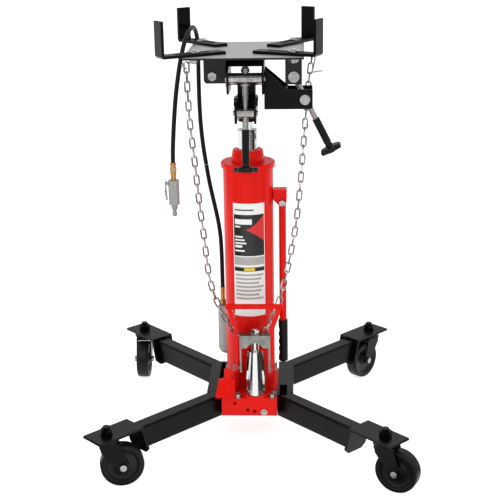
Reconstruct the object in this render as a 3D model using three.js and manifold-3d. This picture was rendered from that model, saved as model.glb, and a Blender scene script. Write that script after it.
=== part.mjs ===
// Telescopic transmission jack: a two-stage hydraulic column on a four-caster base, with a tilting saddle,
// a foot pump, an air motor, a side handle, an air hose with its valve, and a safety chain.
// Millimetres, +Z up. The column axis stands at x = COLUMN_X, y = 0, and the floor is z = 0.
//
// Casters: 4 inch wheels (101.6 mm) on swivel forks set the scale of everything else.
// Each function below draws one piece from the constants; the last section places them all.

import * as THREE from 'three';
import { mergeVertices } from 'three/addons/utils/BufferGeometryUtils.js';
import Module from 'manifold-3d';

const wasm = await Module();
wasm.setup();

// Gaps
const FIT = 0.3; // kept between pieces that touch
const RUN = 0.4; // radial clearance of a pin in its hole

// Frame: the origin is the middle of the footprint, and the casters' trail shifts that from the column
const COLUMN_X = -14;

// Base
const STUD_X = 317; // caster swivel axes, measured from the column axis
const STUD_Y = 330;
const LEG_WIDTH = 38;
const LEG_BOTTOM = 65;
const LEG_TOP = 122;
const LEG_WALL = 3;
const SPINE_OUTER_X = 107; // the spine joins a front and a rear leg beside the block
const SPINE_FRONT = -80;
const SPINE_BACK = 112;
const BLOCK_HALF_WIDTH = 68;
const BLOCK_FRONT = -120;
const BLOCK_BACK = 68;
const BLOCK_BOTTOM = 76;
const BLOCK_TOP = LEG_TOP;
const BLOCK_PORTS = [[-36, 108], [-4, 91], [13, 87]]; // x and z of the open holes in its front
const PORT_RADIUS = 4.5;
const PORT_DEPTH = 14;

// Casters
const WHEEL_RADIUS = 50.8;
const WHEEL_WIDTH = 32;
const CASTER_TRAIL = 32;
const END_PLATE_LEAN = 17 / 65; // the leg's end plate leans outward by this share of its height
const CASTER_PLATE = { outward: 42, inward: 77, width: 65, thickness: 6 };
const STUD_RADIUS = 8;
const AXLE_RADIUS = 5;
const FORK_GAP = 35;
const FORK_WALL = 3.5;
const CASTERS = [
  { name: 'front_left', side: -1, end: -1, swivel: 15 },
  { name: 'front_right', side: 1, end: -1, swivel: -26 },
  { name: 'rear_left', side: -1, end: 1, swivel: -90 },
  { name: 'rear_right', side: 1, end: 1, swivel: -129 },
];

// Hydraulic column
const TUBE_RADIUS = 60.7;
const TUBE_WALL = 4;
const TUBE_TOP = 677.7;
const CAP_RADIUS = 65.5;
const CAP_BOTTOM = 678;
const CAP_TOP = 691;
const GLAND_TOP = 720;
const BARREL_OUTER = 35;
const BARREL_BORE = 30;
const OUTER_RAM_RADIUS = 24.6;
const OUTER_RAM_BORE = 19;
const OUTER_RAM_TOP = 768;
const INNER_RAM_RADIUS = 14;
const INNER_RAM_TOP = 806;

// Head: hinge pin of the fore and aft tilt, and the tilt screw's two trunnions, all along X
const TILT_PIN_Z = 880;
const TILT_PIN_RADIUS = 8;
const TILT_UPPER = { y: -62, z: 898 };
const TILT_LOWER = { y: -77.3, z: 820 };
const TILT_SCREW_LENGTH = 206;
const HEAD_HALF_WIDTH = 21;
const EAR_OUTER = 25;
const FRAME_INNER = 38;
const FRAME_OUTER = 43;
const FRAME_TOP = 940;
const HOOD_Y = -25; // centre of the bend at the tilt frame's front

// Side tilt: its pivot bolt and the side screw's two trunnions, all along Y
const SIDE_PIVOT = { x: -78, z: 899 };
const SIDE_UPPER = { x: 111, z: 894 };
const SIDE_LOWER = { x: 137, z: 842 };
const SIDE_SCREW_LENGTH = 192;
const SIDE_ARM_END = 155;
const SCREW_RADIUS = 7;
const GRIP_RADIUS = 9.2;
const KNOB_RADIUS = 29;

// Saddle
const SADDLE_X = 270;
const SADDLE_Y = 296;
const SADDLE_BOTTOM = 951;
const SADDLE_TOP = 956;
const ARM_BOLT_X = 112;
const ARM_BOLT_Y = 110;
const ARM_LENGTH = 160;
const ARM_WIDTH = 35;
const ARM_THICKNESS = 7;
const ARM_UPRIGHT = 82;
const BOLT_RADIUS = 6;
// angle: from the X axis to the arm, toward its own corner; reach: bolt to upright
const ARMS = [
  { name: 'front_left', side: -1, end: -1, angle: 32, reach: 88 },
  { name: 'front_right', side: 1, end: -1, angle: 27, reach: 64 },
  { name: 'rear_left', side: -1, end: 1, angle: 50, reach: 80 },
  { name: 'rear_right', side: 1, end: 1, angle: 58, reach: 66 },
];

// Foot pump
const PUMP = { x: 15, y: -92 };
const PUMP_RADIUS = 25.5;
const PUMP_SHOULDER = 168;
const PUMP_TOP = 238;
const PUMP_TOP_RADIUS = 18;
const PLUNGER_RADIUS = 9;
const BRACKET_TOP = 281;
const BRACKET_HALF_WIDTH = 37;
const PEDAL_PIVOT = { y: -68, z: 184 };
const PEDAL_LINK = { y: -99, z: 196 };
const PEDAL_PLATE_INNER = 41; // from the pump's axis
const PEDAL_PLATE_OUTER = 47;
const CROSSBAR = { y: -107, z: 357, radius: 6.5, halfLength: 69 };

// Release pedal
const RELEASE_PIN = { x: -54, y: -106, z: 134 };

// Side handle
const HANDLE_X = 82;
const HANDLE_PIVOT_Z = 589;
const HANDLE_RADIUS = 9;
const HANDLE_GRIP_TOP = 284;
const HANDLE_GRIP_BOTTOM = 173;

// Air motor, hose and valve
const MOTOR = { x: -57, y: 82, radius: 30, bottom: 166, top: 293 };
const MOTOR_FITTING = { x: -74, y: 85, top: 341 };
const HOSE_RADIUS = 5.5;
const VALVE = { x: -182, y: 10, top: 641, bottom: 581 };

// Routes, chosen point by point: up from the motor, over the saddle's rear left corner, down to the valve
const HOSE_LOWER = [
  [-74, 85, 341.5], [-74.2, 86, 370], [-75, 91, 420], [-77.5, 99, 470], [-84, 107, 515],
  [-94, 116, 560], [-104, 125, 605], [-112, 134, 650],
];
const HOSE_UPPER = [
  [-112, 134, 650.5], [-119, 143, 695], [-124.5, 153, 745], [-127.5, 163, 795], [-129, 174, 845],
  [-129.5, 184, 895], [-130, 189, 935], [-131.5, 186, 965], [-134.5, 170, 985], [-138.5, 148, 992],
  [-143, 122, 989], [-148, 96, 977], [-153.5, 72, 957], [-160, 52, 925], [-167, 38, 880],
  [-173, 27, 830], [-178, 18, 770], [-181, 12, 720], [-182, 10, 684.5],
];
// The loop hangs from the saddle's two ends, behind the side arm, and passes between column and pump
const CHAIN = [
  [-135, -60, 934], [-134, -61, 870], [-130, -63, 790], [-121, -66, 695], [-113, -69, 600],
  [-104, -71, 515], [-95, -73, 425], [-84, -74, 378], [-70, -74.5, 342], [-52, -74.5, 305],
  [-33, -74.5, 277], [-10, -74.5, 259], [8, -74.5, 256], [26, -74.5, 264], [44, -74.5, 290],
  [60, -74.5, 320], [75, -73, 362], [93, -69, 432], [106, -60, 495], [116, -49, 550], [125, -30, 630],
  [132, 8, 710], [138, 40, 780], [143, 50, 840], [149, 52, 895], [155, 52, 940],
];
const CHAIN_RADIUS = 5;

const radians = THREE.MathUtils.degToRad;

// ---------- materials ----------

function finish(color, roughness, metalness) {
  return new THREE.MeshStandardMaterial({ color, roughness, metalness });
}

const RED = finish(0xd8261c, 0.35, 0);
const BLACK = finish(0x17181a, 0.35, 0);
const CHROME = finish(0xc9ccd0, 0.15, 1);
const ZINC = finish(0xb4b6b4, 0.4, 1);
const BRASS = finish(0xb08a48, 0.35, 1);
const CASTING = finish(0xa9aaa6, 0.55, 0.6);
const RUBBER = finish(0x1b1c1d, 0.75, 0);

// ---------- solids ----------

function fromGeometry(geometry) {
  const bare = geometry.clone();
  bare.deleteAttribute('normal');
  bare.deleteAttribute('uv');
  const merged = mergeVertices(bare, 1e-3);
  const mesh = new wasm.Mesh({
    numProp: 3,
    vertProperties: new Float32Array(merged.attributes.position.array),
    triVerts: new Uint32Array(merged.index.array),
  });
  return new wasm.Manifold(mesh);
}

function toGeometry(solid) {
  const mesh = solid.getMesh();
  const geometry = new THREE.BufferGeometry();
  geometry.setAttribute('position', new THREE.BufferAttribute(new Float32Array(mesh.vertProperties), 3));
  geometry.setIndex(new THREE.BufferAttribute(new Uint32Array(mesh.triVerts), 1));
  geometry.computeVertexNormals();
  return geometry;
}

function join(...solids) {
  return solids.reduce((whole, next) => whole.add(next));
}

function cut(solid, ...tools) {
  return tools.reduce((rest, tool) => rest.subtract(tool), solid);
}

function moved(geometry, x = 0, y = 0, z = 0) {
  return geometry.translate(x, y, z);
}

// A box from its two corners
function block([x0, y0, z0], [x1, y1, z1]) {
  const box = new THREE.BoxGeometry(x1 - x0, y1 - y0, z1 - z0);
  return fromGeometry(moved(box, (x0 + x1) / 2, (y0 + y1) / 2, (z0 + z1) / 2));
}

// A round bar between two coordinates of one axis, through the point given in the other two
function bar(axis, radius, from, to, centre, segments = 16) {
  const geometry = new THREE.CylinderGeometry(radius, radius, to - from, segments);
  if (axis === 'x') geometry.rotateZ(Math.PI / 2);
  if (axis === 'z') geometry.rotateX(Math.PI / 2);
  const middle = (from + to) / 2;
  if (axis === 'x') moved(geometry, middle, centre[0], centre[1]);
  if (axis === 'y') moved(geometry, centre[0], middle, centre[1]);
  if (axis === 'z') moved(geometry, centre[0], centre[1], middle);
  return fromGeometry(geometry);
}

function hexagon(axis, acrossFlats, from, to, centre) {
  return bar(axis, acrossFlats / Math.sqrt(3), from, to, centre, 6);
}

// A turned piece about Z: [radius, z] points that start and end on the axis or close on themselves
function turned(profile, segments = 20) {
  const points = profile.map(([radius, z]) => new THREE.Vector2(radius, z));
  if (THREE.ShapeUtils.isClockWise(points)) points.reverse();
  return fromGeometry(new THREE.LatheGeometry(points, segments).rotateX(Math.PI / 2));
}

function ring(inner, outer, bottom, top, segments = 24) {
  return turned([[inner, bottom], [outer, bottom], [outer, top], [inner, top], [inner, bottom]], segments);
}

function outline(points) {
  return new THREE.Shape(points.map(([u, v]) => new THREE.Vector2(u, v)));
}

// A plate whose outline is drawn in a coordinate plane and which runs from one value of the third to another
function plate(plane, shape, from, to, curveSegments = 6) {
  const geometry = new THREE.ExtrudeGeometry(shape, { depth: to - from, bevelEnabled: false, curveSegments });
  if (plane === 'xy') moved(geometry, 0, 0, from);
  if (plane === 'xz') moved(geometry.rotateX(Math.PI / 2), 0, to, 0);
  if (plane === 'yz') moved(geometry.rotateX(Math.PI / 2).rotateZ(Math.PI / 2), from, 0, 0);
  return fromGeometry(geometry);
}

function roundedRectangle(width, height, radius) {
  const [w, h] = [width / 2, height / 2];
  const shape = new THREE.Shape();
  shape.moveTo(-w + radius, -h);
  shape.lineTo(w - radius, -h);
  shape.absarc(w - radius, -h + radius, radius, -Math.PI / 2, 0);
  shape.lineTo(w, h - radius);
  shape.absarc(w - radius, h - radius, radius, 0, Math.PI / 2);
  shape.lineTo(-w + radius, h);
  shape.absarc(-w + radius, h - radius, radius, Math.PI / 2, Math.PI);
  shape.lineTo(-w, -h + radius);
  shape.absarc(-w + radius, -h + radius, radius, Math.PI, Math.PI * 1.5);
  return shape;
}

// A bar of round section along a smooth curve through the points
function cable(points, radius, steps, sides) {
  const curve = new THREE.CatmullRomCurve3(points.map((p) => new THREE.Vector3(...p)));
  const section = outline(
    Array.from({ length: sides }, (_, i) => {
      const turn = (i / sides) * Math.PI * 2;
      return [radius * Math.cos(turn), radius * Math.sin(turn)];
    }),
  );
  return fromGeometry(new THREE.ExtrudeGeometry(section, { steps, extrudePath: curve, bevelEnabled: false }));
}

// ---------- assembly ----------

const jack = new THREE.Group();
jack.position.x = COLUMN_X;

function place(parent, name, solid, material) {
  const mesh = new THREE.Mesh(toGeometry(solid), material);
  mesh.name = name;
  parent.add(mesh);
  return mesh;
}

function groupAt(x, y, z, turn = 0) {
  const group = new THREE.Group();
  group.position.set(x, y, z);
  group.rotation.z = turn;
  jack.add(group);
  return group;
}

// ---------- base ----------

function baseBlock() {
  const half = BLOCK_HALF_WIDTH;
  let solid = block([-half, BLOCK_FRONT, BLOCK_BOTTOM], [half, BLOCK_BACK, BLOCK_TOP]);
  // A raised ring round the pump, trimmed to the block and clear of the column's tube
  const skirt = block([-half, BLOCK_FRONT, BLOCK_TOP - 5], [half, 0, BLOCK_TOP + 5]);
  const clearOfTube = bar('z', TUBE_RADIUS + 2, BLOCK_TOP, BLOCK_TOP + 10, [0, 0], 32);
  const boss = ring(PUMP_RADIUS + 1, 34, BLOCK_TOP - 1, BLOCK_TOP + 4).translate([PUMP.x, PUMP.y, 0]);
  solid = join(solid, cut(boss.intersect(skirt), clearOfTube));
  for (const direction of [-1, 1]) solid = join(solid, pedalLug(direction));
  solid = join(solid, releaseLug());
  for (const port of BLOCK_PORTS) {
    solid = cut(solid, bar('y', PORT_RADIUS, BLOCK_FRONT - 5, BLOCK_FRONT + PORT_DEPTH, port, 10));
  }
  const plugRecess = bar('y', 5.5, BLOCK_FRONT - 5, BLOCK_FRONT + 4, [36, 86], 10);
  return cut(solid, plugRecess);
}

// Upright lug beside the pump, with the stub that the pump pedal turns on
function pedalLug(direction) {
  const inner = PEDAL_PLATE_OUTER + 2;
  const from = PUMP.x + direction * inner;
  const to = PUMP.x + direction * (inner + 4);
  const shape = new THREE.Shape();
  const { y, z } = PEDAL_PIVOT;
  shape.moveTo(y - 13, BLOCK_TOP - 1);
  shape.lineTo(y + 12, BLOCK_TOP - 1);
  shape.lineTo(y + 12, z);
  shape.absarc(y, z, 12, 0, Math.PI);
  const lug = plate('yz', shape, Math.min(from, to), Math.max(from, to));
  const tip = PUMP.x + direction * (PEDAL_PLATE_INNER - 2.5);
  const stub = bar('x', 6, Math.min(tip, to), Math.max(tip, to), [y, z], 12);
  return join(lug, stub);
}

function releaseLug() {
  const { x, y, z } = RELEASE_PIN;
  const lug = block([x - 5, y - 6, BLOCK_TOP - 1], [x + 5, y + 8, z + 6]);
  return cut(lug, bar('x', 4 + FIT, x - 10, x + 10, [y, z], 12));
}

// One leg along the line from the column axis to its caster, as a plain tube of the given size
function legTube(side, end, width, height, inset) {
  const reach = Math.hypot(STUD_X, STUD_Y);
  const shape = roundedRectangle(width, height, 5);
  const length = reach - CASTER_PLATE.inward;
  const geometry = new THREE.ExtrudeGeometry(shape, { depth: length, bevelEnabled: false, curveSegments: 1 });
  geometry.rotateX(Math.PI / 2).rotateZ(Math.PI / 2);
  const tube = fromGeometry(moved(geometry, 0, 0, (LEG_BOTTOM + LEG_TOP) / 2));
  // The outer end leans: its foot stands further from the caster than its head
  const lean = (LEG_TOP - LEG_BOTTOM) * END_PLATE_LEAN;
  const far = length + 40;
  const [above, below] = [LEG_TOP + 1, LEG_BOTTOM - 1];
  const mitre = plate('xz', outline([
    [length - inset, above], [length - inset - lean, below], [far, below], [far, above],
  ]), -60, 60);
  const heading = THREE.MathUtils.radToDeg(Math.atan2(end * STUD_Y, side * STUD_X));
  return cut(tube, mitre).rotate([0, 0, heading]);
}

// End plate and caster plate, drawn with the caster's stud at the origin and the leg along -X
function legEnd(side, end) {
  const { outward, inward, width, thickness } = CASTER_PLATE;
  const foot = LEG_BOTTOM - 8;
  const lean = (LEG_TOP - foot) * END_PLATE_LEAN;
  const head = LEG_TOP + 1;
  const [near, far] = [-inward + 1, -inward - thickness];
  const band = plate('xz', outline([
    [near, head], [far, head], [far - lean, foot], [near - lean, foot],
  ]), -width / 2, width / 2);
  const outside = width / 2 + 1;
  const corners = [-1, 1].map((edge) => plate('yz', outline([
    [edge * outside, foot - 1], [edge * outside, foot + 12], [edge * (outside - 13), foot - 1],
  ]), -inward - 40, -inward + 10));
  const top = block([far, -width / 2, LEG_TOP], [outward, width / 2, LEG_TOP + thickness]);
  const hole = bar('z', STUD_RADIUS + RUN, LEG_TOP - 5, LEG_TOP + thickness + 5, [0, 0]);
  const heading = THREE.MathUtils.radToDeg(Math.atan2(end * STUD_Y, side * STUD_X));
  return cut(join(cut(band, ...corners), top), hole)
    .rotate([0, 0, heading])
    .translate([side * STUD_X, end * STUD_Y, 0]);
}

function legFrame(side) {
  const height = LEG_TOP - LEG_BOTTOM;
  const inner = BLOCK_HALF_WIDTH + FIT;
  // A box given by its distances from the column's axis, on this frame's side
  const sideBox = ([x0, y0, z0], [x1, y1, z1]) => {
    const [near, far] = [side * x0, side * x1].sort((p, q) => p - q);
    return block([near, y0, z0], [far, y1, z1]);
  };
  const spine = (inset) => sideBox(
    [inner + inset, SPINE_FRONT + inset, LEG_BOTTOM + inset],
    [SPINE_OUTER_X - inset, SPINE_BACK - inset, LEG_TOP - inset],
  );
  const tubes = (inset) => {
    const width = LEG_WIDTH - 2 * inset;
    const reach = sideBox([inner + inset, -500, 0], [500, 500, 200]);
    const depth = height - 2 * inset;
    return join(...[-1, 1].map((end) => legTube(side, end, width, depth, inset).intersect(reach)));
  };
  const shell = cut(join(tubes(0), spine(0)), join(tubes(LEG_WALL), spine(LEG_WALL)));
  // The spine's top wall stays open along the block, at the back on the left and in front on the right
  const [x0, y0, x1, y1] = side < 0 ? [71.5, -72, 82, 105] : [73, -100, 92, -37];
  const slot = sideBox([x0, y0, LEG_TOP - LEG_WALL - 2], [x1, y1, LEG_TOP + 5]);
  return cut(join(shell, legEnd(side, -1), legEnd(side, 1)), slot);
}

// ---------- casters ----------

// Drawn with the swivel axis at the origin and the wheel trailing along +X
function casterFork() {
  const axleZ = WHEEL_RADIUS;
  const race = bar('z', 28, 110, LEG_TOP - FIT, [0, 0]);
  const crown = block([-20, -FORK_GAP / 2 - FORK_WALL, 104], [27, FORK_GAP / 2 + FORK_WALL, 110.5]);
  const cheekShape = new THREE.Shape();
  cheekShape.moveTo(-20, 110);
  cheekShape.lineTo(-16, 92);
  cheekShape.lineTo(CASTER_TRAIL - 11, axleZ - 5);
  cheekShape.absarc(CASTER_TRAIL, axleZ, 12, Math.PI * 1.13, Math.PI * 2);
  cheekShape.lineTo(27, 110);
  let solid = join(race, crown);
  for (const y of [-FORK_GAP / 2 - FORK_WALL, FORK_GAP / 2]) {
    solid = join(solid, plate('xz', cheekShape, y, y + FORK_WALL, 3));
  }
  const plateTop = LEG_TOP + CASTER_PLATE.thickness;
  const stud = bar('z', STUD_RADIUS, 115, plateTop + 21, [0, 0], 12);
  const washer = bar('z', 15, plateTop + FIT, plateTop + 3, [0, 0], 12);
  const nut = hexagon('z', 24, plateTop + 2, plateTop + 15, [0, 0]);
  const axleHole = bar('y', AXLE_RADIUS + FIT, -40, 40, [CASTER_TRAIL, axleZ], 12);
  return cut(join(solid, stud, washer, nut), axleHole);
}

function casterAxle() {
  const outside = FORK_GAP / 2 + FORK_WALL + FIT;
  const centre = [CASTER_TRAIL, WHEEL_RADIUS];
  const shank = bar('y', AXLE_RADIUS, -outside - 1, outside + 1, centre, 12);
  const ends = [-1, 1].map((edge) => {
    const [from, to] = [edge * outside, edge * (outside + 6)].sort((p, q) => p - q);
    return hexagon('y', 15, from, to, centre);
  });
  return join(shank, ...ends);
}

function casterWheel() {
  const rim = WHEEL_WIDTH / 2;
  const half = [
    [AXLE_RADIUS + RUN, 15], [15, 15], [17, 9], [40, 9], [42, rim], [48, rim], [WHEEL_RADIUS, 12],
  ];
  const mirrored = half.map(([radius, y]) => [radius, -y]).reverse();
  return turned([...half, ...mirrored, half[0]], 24);
}

// ---------- hydraulic column ----------

function reservoirTube() {
  return ring(TUBE_RADIUS - TUBE_WALL, TUBE_RADIUS, BLOCK_TOP + FIT, TUBE_TOP, 32);
}

function cylinderBarrel() {
  const bottom = BLOCK_TOP + FIT;
  return turned([
    [0, bottom], [BARREL_OUTER, bottom], [BARREL_OUTER, CAP_TOP - FIT], [BARREL_BORE, CAP_TOP - FIT],
    [BARREL_BORE, bottom + 8], [0, bottom + 8],
  ]);
}

function topCap() {
  const inner = BARREL_OUTER + FIT;
  return turned([
    [inner, CAP_BOTTOM], [CAP_RADIUS, CAP_BOTTOM], [CAP_RADIUS, CAP_TOP - 2.5], [CAP_RADIUS - 2.5, CAP_TOP],
    [inner, CAP_TOP], [inner, CAP_BOTTOM],
  ], 32);
}

function glandNut() {
  const bore = OUTER_RAM_RADIUS + RUN;
  const bottom = CAP_TOP + FIT;
  return turned([
    [bore, bottom], [40, bottom], [39, bottom + 14], [36.5, GLAND_TOP - 2], [34.5, GLAND_TOP],
    [bore, GLAND_TOP], [bore, bottom],
  ], 24);
}

function outerRam() {
  const neck = INNER_RAM_RADIUS + RUN;
  const piston = BARREL_BORE - RUN;
  return turned([
    [neck, OUTER_RAM_TOP - 20], [OUTER_RAM_BORE, OUTER_RAM_TOP - 20], [OUTER_RAM_BORE, 140], [piston, 140],
    [piston, 160], [OUTER_RAM_RADIUS, 160], [OUTER_RAM_RADIUS, OUTER_RAM_TOP - 2],
    [OUTER_RAM_RADIUS - 2, OUTER_RAM_TOP], [neck, OUTER_RAM_TOP], [neck, OUTER_RAM_TOP - 20],
  ], 24);
}

function innerRam() {
  const piston = OUTER_RAM_BORE - RUN;
  return turned([
    [0, 150], [piston, 150], [piston, 170], [INNER_RAM_RADIUS, 170], [INNER_RAM_RADIUS, INNER_RAM_TOP],
    [0, INNER_RAM_TOP],
  ]);
}

// ---------- ram head and fore-and-aft tilt ----------

function ramHead() {
  const socketBottom = INNER_RAM_TOP - 18;
  const socket = bar('z', 22, socketBottom, 828, [0, 0], 20);
  const bore = bar('z', INNER_RAM_RADIUS + FIT, socketBottom - 5, INNER_RAM_TOP + FIT, [0, 0], 20);
  const kneeShape = new THREE.Shape();
  kneeShape.moveTo(-20, 824);
  kneeShape.lineTo(20, 824);
  kneeShape.lineTo(20, TILT_PIN_Z);
  kneeShape.absarc(0, TILT_PIN_Z, 20, 0, Math.PI);
  const knee = plate('yz', kneeShape, -HEAD_HALF_WIDTH, HEAD_HALF_WIDTH, 6);
  const earShape = outline([
    [-93, 806], [-86, 796], [-66, 796], [-24, 812], [14, 812], [14, 848], [-86, 848], [-93, 838],
  ]);
  const webShape = outline([[-62, 838], [-54, 850], [-16, 850], [-16, 842], [-50, 842], [-57, 832]]);
  const web = plate('yz', webShape, -28, 28);
  let solid = join(cut(socket, bore), knee, web);
  for (const x of [-EAR_OUTER, EAR_OUTER - 5]) solid = join(solid, plate('yz', earShape, x, x + 5));
  const pinHole = bar('x', TILT_PIN_RADIUS + RUN, -60, 60, [0, TILT_PIN_Z]);
  const nutHole = bar('x', 6 + RUN, -60, 60, [TILT_LOWER.y, TILT_LOWER.z], 16);
  return cut(solid, pinHole, nutHole);
}

function tiltPin() {
  const outside = FRAME_OUTER + FIT;
  const shank = bar('x', TILT_PIN_RADIUS, -outside - 1, outside + 1, [0, TILT_PIN_Z]);
  const head = bar('x', 13, -outside - 6, -outside, [0, TILT_PIN_Z]);
  const nut = hexagon('x', 22, outside, outside + 8, [0, TILT_PIN_Z]);
  return join(shank, head, nut);
}

function tiltFrame() {
  const wallShape = outline([
    [-80, 872], [-72, 862], [22, 862], [40, 880], [48, FRAME_TOP], [-36, FRAME_TOP], [-62, 922], [-80, 916],
  ]);
  // The top plate folds down over the trunnion in a wide bend
  const hood = new THREE.Shape();
  hood.moveTo(48, FRAME_TOP);
  hood.absarc(HOOD_Y, FRAME_TOP - 18, 18, Math.PI / 2, Math.PI);
  hood.absarc(HOOD_Y, FRAME_TOP - 18, 13, Math.PI, Math.PI / 2, true);
  hood.lineTo(48, FRAME_TOP - 5);
  let solid = plate('yz', hood, -FRAME_OUTER, FRAME_OUTER, 4);
  for (const x of [-FRAME_OUTER, FRAME_INNER]) {
    solid = join(solid, plate('yz', wallShape, x, x + FRAME_OUTER - FRAME_INNER));
  }
  const holes = [
    bar('x', TILT_PIN_RADIUS + RUN, -60, 60, [0, TILT_PIN_Z]),
    bar('x', 9 + RUN, -60, 60, [TILT_UPPER.y, TILT_UPPER.z]),
  ];
  return cut(join(solid, sidePivotArm(), sideScrewArm()), ...holes);
}

// Eye block on the left that carries the side pivot bolt
function sidePivotArm() {
  const { x, z } = SIDE_PIVOT;
  const shape = new THREE.Shape();
  shape.moveTo(-FRAME_OUTER + 1, z - 15);
  shape.lineTo(-FRAME_OUTER + 1, z + 15);
  shape.lineTo(x, z + 15);
  shape.absarc(x, z, 15, Math.PI / 2, Math.PI * 1.5);
  const eye = plate('xz', shape, -30, 30, 5);
  const pinHeadPocket = bar('x', 15, -FRAME_OUTER - 9, -FRAME_OUTER, [0, TILT_PIN_Z]);
  return cut(eye, pinHeadPocket, bar('y', 8 + RUN, -50, 50, [x, z]));
}

// Box arm on the right that carries the side screw's lower trunnion
function sideScrewArm() {
  const side = outline([[FRAME_OUTER - 1, 820], [151, 820], [SIDE_ARM_END, 824], [SIDE_ARM_END, 866],
    [98, 866], [FRAME_OUTER - 1, 914]]);
  let solid = block([FRAME_OUTER - 1, -30, 862], [96, 30, 866]);
  solid = join(solid, block([FRAME_OUTER - 1, -30, 820], [52, 30, 866]));
  for (const y of [-32, 28]) solid = join(solid, plate('xz', side, y, y + 4));
  return cut(solid, bar('y', 12 + RUN, -50, 50, [SIDE_LOWER.x, SIDE_LOWER.z]));
}

// A screw with its shoulder collar and dome nut, drawn from the trunnion's centre down -Z
function tiltScrew(length) {
  return turned([
    [0, -length], [SCREW_RADIUS, -length], [SCREW_RADIUS, -18], [11, -18], [11, -13.5], [SCREW_RADIUS, -13.5],
    [SCREW_RADIUS, 13.5], [10, 13.5], [10, 20], [6, 27], [0, 29.5],
  ], 16);
}

// Grip sleeve and star hand wheel on the screw's lower end
function starKnob(length, gripLength) {
  const gripTop = -length + gripLength;
  const sleeve = turned([
    [SCREW_RADIUS + FIT, gripTop], [GRIP_RADIUS, gripTop], [GRIP_RADIUS, -length - 6],
    [0, -length - 6], [0, -length - FIT], [SCREW_RADIUS + FIT, -length - FIT], [SCREW_RADIUS + FIT, gripTop],
  ], 16);
  const lobes = 6;
  const star = new THREE.Shape();
  const steps = 24;
  for (let i = 0; i < steps; i += 1) {
    const turn = (i / steps) * Math.PI * 2;
    const radius = KNOB_RADIUS - 3.5 + 3.5 * Math.cos(lobes * turn);
    if (i === 0) star.moveTo(radius, 0);
    else star.lineTo(radius * Math.cos(turn), radius * Math.sin(turn));
  }
  const wheel = plate('xy', star, -length - 10, -length + 4);
  const well = bar('z', SCREW_RADIUS + FIT, -length - FIT, -length + 10, [0, 0]);
  return join(cut(wheel, well), sleeve);
}

// Cross barrel with the screw's hole; ends of the second radius reach into the side plates
function trunnion(axis, radius, halfLength, endRadius, endLength, hole) {
  const body = bar(axis, radius, -halfLength, halfLength, [0, 0]);
  const ends = bar(axis, endRadius, -endLength, endLength, [0, 0]);
  return cut(join(body, ends), bar('z', hole, -40, 40, [0, 0]));
}

// ---------- saddle ----------

function saddlePlate() {
  let solid = plate('xy', roundedRectangle(SADDLE_X, SADDLE_Y, 4), SADDLE_BOTTOM, SADDLE_TOP, 2);
  const { x, z } = SIDE_PIVOT;
  const top = SADDLE_BOTTOM + 1;
  const leftEar = outline([[-98, top], [-98, 888], [-93, 882], [-47, 882], [-47, top]]);
  for (const y of [-36, 31]) solid = join(solid, plate('xz', leftEar, y, y + 5));
  const rightEar = outline([[91, top], [91, 877], [130, 877], [130, top]]);
  for (const y of [-25, 20]) solid = join(solid, plate('xz', rightEar, y, y + 5));
  solid = cut(
    solid,
    bar('y', 8 + RUN, -60, 60, [x, z]),
    bar('y', 13 + RUN, -60, 60, [SIDE_UPPER.x, SIDE_UPPER.z]),
  );
  for (const { side, end } of ARMS) {
    solid = cut(solid, bar('z', BOLT_RADIUS + RUN, 940, 970, [side * ARM_BOLT_X, end * ARM_BOLT_Y], 14));
  }
  return solid;
}

function sidePivotBolt() {
  const { x, z } = SIDE_PIVOT;
  const shank = bar('y', 8, -38, 38, [x, z]);
  return join(shank, hexagon('y', 19, -43, -36 - FIT, [x, z]), hexagon('y', 19, 36 + FIT, 43, [x, z]));
}

// Angle arm drawn with its bolt at the origin, its upright toward +X and its foot on z = 0
function saddleArm(reach) {
  const tail = reach - ARM_LENGTH;
  const shape = outline([[tail, 0], [reach - 5, 0], [reach, 5], [reach, ARM_UPRIGHT],
    [reach - ARM_THICKNESS, ARM_UPRIGHT], [reach - ARM_THICKNESS, ARM_THICKNESS], [tail, ARM_THICKNESS]]);
  const angle = plate('xz', shape, -ARM_WIDTH / 2, ARM_WIDTH / 2);
  const half = BOLT_RADIUS + RUN;
  const [from, to] = [reach - 125, reach - 45];
  const slot = new THREE.Shape();
  slot.moveTo(from, -half);
  slot.lineTo(to, -half);
  slot.absarc(to, 0, half, -Math.PI / 2, Math.PI / 2);
  slot.lineTo(from, half);
  slot.absarc(from, 0, half, Math.PI / 2, Math.PI * 1.5);
  return cut(angle, plate('xy', slot, -5, ARM_THICKNESS + 5));
}

// Clamp bolt drawn with the saddle's top at z = 0
function armBolt() {
  const head = ARM_THICKNESS + 2 * FIT;
  const under = SADDLE_BOTTOM - SADDLE_TOP - FIT;
  const body = turned([
    [0, under - 12], [BOLT_RADIUS, under - 12], [BOLT_RADIUS, head], [14, head], [14, head + 2.5],
    [8, head + 6], [0, head + 7.5],
  ], 14);
  return join(body, hexagon('z', 19, under - 9, under, [0, 0]));
}

// ---------- foot pump ----------

function pumpBarrel() {
  const bottom = BLOCK_TOP + FIT;
  const bore = PLUNGER_RADIUS + RUN;
  return turned([
    [0, bottom], [PUMP_RADIUS, bottom], [PUMP_RADIUS, PUMP_SHOULDER], [PUMP_TOP_RADIUS, PUMP_TOP],
    [bore, PUMP_TOP], [bore, bottom + 20], [0, bottom + 20],
  ], 24);
}

function pumpPlunger() {
  const under = BRACKET_TOP - 6 - FIT;
  const body = turned([
    [0, 172], [PLUNGER_RADIUS, 172], [PLUNGER_RADIUS, under], [6, under], [6, BRACKET_TOP + 14],
    [0, BRACKET_TOP + 14],
  ], 24);
  return join(body, hexagon('z', 19, BRACKET_TOP + FIT, BRACKET_TOP + 11, [0, 0]));
}

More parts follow.
